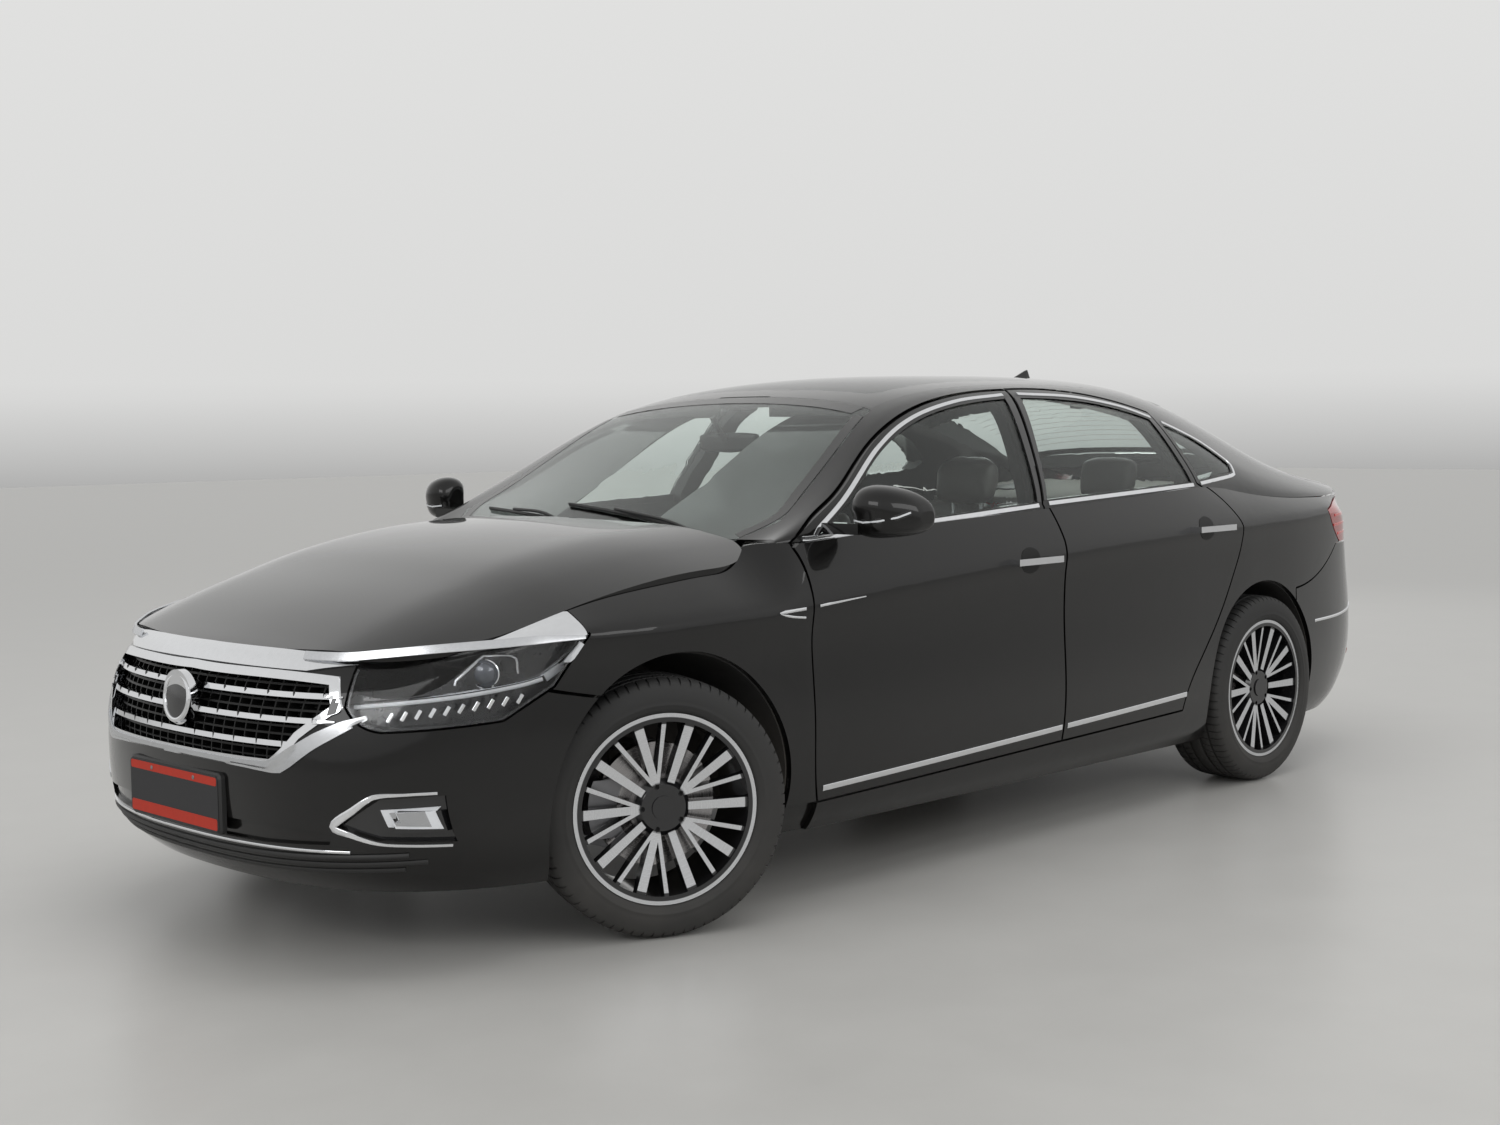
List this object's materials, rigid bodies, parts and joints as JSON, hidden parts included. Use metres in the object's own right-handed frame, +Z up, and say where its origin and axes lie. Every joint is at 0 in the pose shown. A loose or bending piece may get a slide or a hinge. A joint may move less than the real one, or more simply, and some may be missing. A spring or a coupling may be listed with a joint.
{
  "type": "four-door sedan car",
  "caption": "Four-door sedan with opening doors, hood and boot lid, steered front wheels, turning wheels, seats and glass, standing on its wheels.",
  "frame": {"origin": "on the ground under the middle of the car", "axes": "+X to the front of the car, +Y to its left, +Z up"},
  "size_m": [4.9489, 2.196, 1.4675],
  "materials": {
    "paint": "gloss black paint",
    "black_trim": "satin black plastic",
    "liner": "rough black plastic",
    "lamp_body": "bright reflector",
    "lamp_glass": "clear",
    "glass": "green tinted",
    "dark_glass": "dark tinted",
    "red_lens": "red lens",
    "chrome": "bright",
    "alloy": "machined face on dark paint",
    "tyre": "road tyre",
    "steel": "dull",
    "engine": "cast",
    "underbody": "dark coating",
    "interior": "grained",
    "seat_leather": "stitched leather"
  },
  "bodies": {
    "body": {"floor_pan": "underbody", "body_side_left": "paint", "body_side_right": "paint", "cabin_frame": "paint", "roof": "paint", "roof_glass": "dark_glass", "windshield": "glass", "rear_window": "glass", "quarter_glasses": "glass", "front_fenders": "paint", "front_bumper": "paint", "grille": "black_trim", "grille_chrome": "chrome", "fog_lamps": "black_trim", "headlamps": "lamp_body", "headlamp_lenses": "lamp_glass", "front_structure": "underbody", "engine": "engine", "cowl": "black_trim", "dashboard": "interior", "front_seats": "seat_leather", "rear_seat": "seat_leather", "front_suspension": "steel", "rear_suspension": "steel", "fuel_tank": "black_trim", "exhaust": "steel", "wheel_liners": "liner", "rear_bumper": "paint", "tail_lamps": "red_lens"},
    "hood": {"hood": "paint"},
    "boot_lid": {"boot_lid": "paint", "boot_lamps": "red_lens"},
    "steering_wheel": {"steering_wheel": "seat_leather"},
    "front_door_left": {"door_front_left": "paint", "glass_front_left": "glass", "mirror_left": "paint", "handle_front_left": "chrome"},
    "rear_door_left": {"door_rear_left": "paint", "glass_rear_left": "glass", "handle_rear_left": "chrome"},
    "knuckle_left": {"knuckle_left": "steel"},
    "front_wheel_left": {"tyre_front_left": "tyre", "rim_front_left": "alloy"},
    "rear_wheel_left": {"tyre_rear_left": "tyre", "rim_rear_left": "alloy"},
    "front_door_right": {"door_front_right": "paint", "glass_front_right": "glass", "mirror_right": "paint", "handle_front_right": "chrome"},
    "rear_door_right": {"door_rear_right": "paint", "glass_rear_right": "glass", "handle_rear_right": "chrome"},
    "knuckle_right": {"knuckle_right": "steel"},
    "front_wheel_right": {"tyre_front_right": "tyre", "rim_front_right": "alloy"},
    "rear_wheel_right": {"tyre_rear_right": "tyre", "rim_rear_right": "alloy"}
  },
  "joints": [
    {"name": "front_door_left_hinge", "type": "hinge", "parent": "body", "child": "front_door_left", "pos_m": [1.036, 0.905, 0.6], "axis": [0, 0, -1], "range_deg": [0, 65]},
    {"name": "front_door_right_hinge", "type": "hinge", "parent": "body", "child": "front_door_right", "pos_m": [1.036, -0.905, 0.6], "axis": [0, 0, 1], "range_deg": [0, 65]},
    {"name": "rear_door_left_hinge", "type": "hinge", "parent": "body", "child": "rear_door_left", "pos_m": [-0.114, 0.905, 0.6], "axis": [0, 0, -1], "range_deg": [0, 65]},
    {"name": "rear_door_right_hinge", "type": "hinge", "parent": "body", "child": "rear_door_right", "pos_m": [-0.114, -0.905, 0.6], "axis": [0, 0, 1], "range_deg": [0, 65]},
    {"name": "hood_hinge", "type": "hinge", "parent": "body", "child": "hood", "pos_m": [1.1, 0, 0.965], "axis": [0, -1, 0], "range_deg": [0, 50]},
    {"name": "boot_lid_hinge", "type": "hinge", "parent": "body", "child": "boot_lid", "pos_m": [-1.828, 0, 1.172], "axis": [0, 1, 0], "range_deg": [0, 75]},
    {"name": "steering_wheel_turn", "type": "hinge", "parent": "body", "child": "steering_wheel", "pos_m": [0.455, 0.375, 0.8], "axis": [-0.9135, 0, 0.4067], "range_deg": [-201.6, 862.4]},
    {"name": "left_steer", "type": "hinge", "parent": "body", "child": "knuckle_left", "pos_m": [1.544, 0.76, 0.334], "axis": [0, 0, 1], "range_deg": [-14.4, 61.6]},
    {"name": "right_steer", "type": "hinge", "parent": "body", "child": "knuckle_right", "pos_m": [1.544, -0.76, 0.334], "axis": [0, 0, 1], "range_deg": [-14.4, 61.6]},
    {"name": "front_wheel_left_spin", "type": "hinge", "parent": "knuckle_left", "child": "front_wheel_left", "pos_m": [1.55681, 0.78932, 0.334], "axis": [0.4003, 0.9164, 0], "continuous": true},
    {"name": "front_wheel_right_spin", "type": "hinge", "parent": "knuckle_right", "child": "front_wheel_right", "pos_m": [1.53119, -0.78932, 0.334], "axis": [0.4003, 0.9164, 0], "continuous": true},
    {"name": "rear_wheel_left_spin", "type": "hinge", "parent": "body", "child": "rear_wheel_left", "pos_m": [-1.327, 0.784, 0.334], "axis": [0, 1, 0], "continuous": true},
    {"name": "rear_wheel_right_spin", "type": "hinge", "parent": "body", "child": "rear_wheel_right", "pos_m": [-1.327, -0.784, 0.334], "axis": [0, 1, 0], "continuous": true}
  ],
  "couplings": [
    {"joint": "right_steer", "follows": "left_steer", "ratio": 1},
    {"joint": "steering_wheel_turn", "follows": "left_steer", "ratio": 14}
  ]
}
